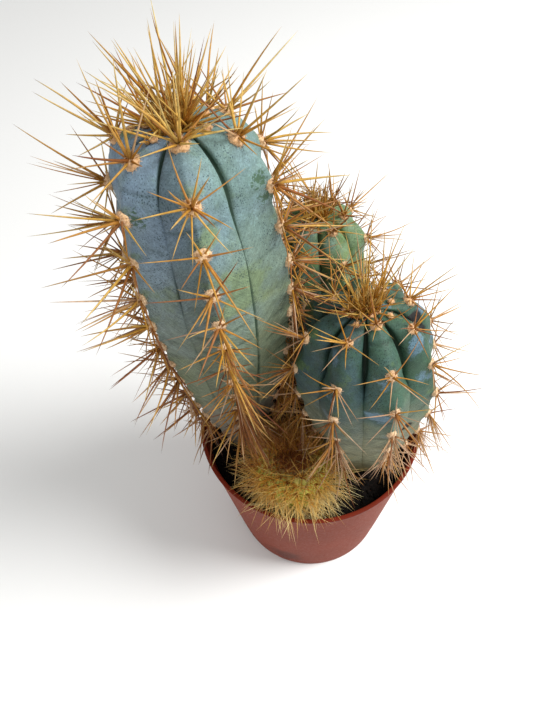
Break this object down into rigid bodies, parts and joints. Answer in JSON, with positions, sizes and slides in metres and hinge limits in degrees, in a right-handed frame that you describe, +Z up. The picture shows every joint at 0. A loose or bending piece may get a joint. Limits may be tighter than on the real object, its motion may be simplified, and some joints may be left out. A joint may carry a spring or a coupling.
{
  "type": "potted cactus planting",
  "caption": "Ribbed blue torch stems and a small golden ball cactus, all spined, planted in a round tapered plastic nursery pot.",
  "frame": {"origin": "centre of the pot's flat foot, on the surface that the pot stands on", "axes": "+Z up, the way the stems grow; -Y is the front, with the golden ball cactus; +X is to the right of the front"},
  "size_m": [0.1286, 0.1122, 0.2279],
  "materials": {
    "pot_plastic": "moulded terracotta-coloured polypropylene, semi-matt",
    "soil": "dark, loose peat potting mix",
    "blue_stem": "living cactus skin with a pale blue waxy bloom",
    "blue_green_stem": "living cactus skin, blue green with a patchy waxy bloom",
    "green_stem": "living cactus skin, grey green",
    "golden_ball": "yellow-green living cactus skin under golden bristles"
  },
  "bodies": {
    "root": {"pot": "pot_plastic", "soil": "soil", "main_torch_stem": "blue_stem", "right_torch_stem": "blue_green_stem", "back_torch_stem": "green_stem", "golden_ball_cactus": "golden_ball"}
  },
  "joints": []
}
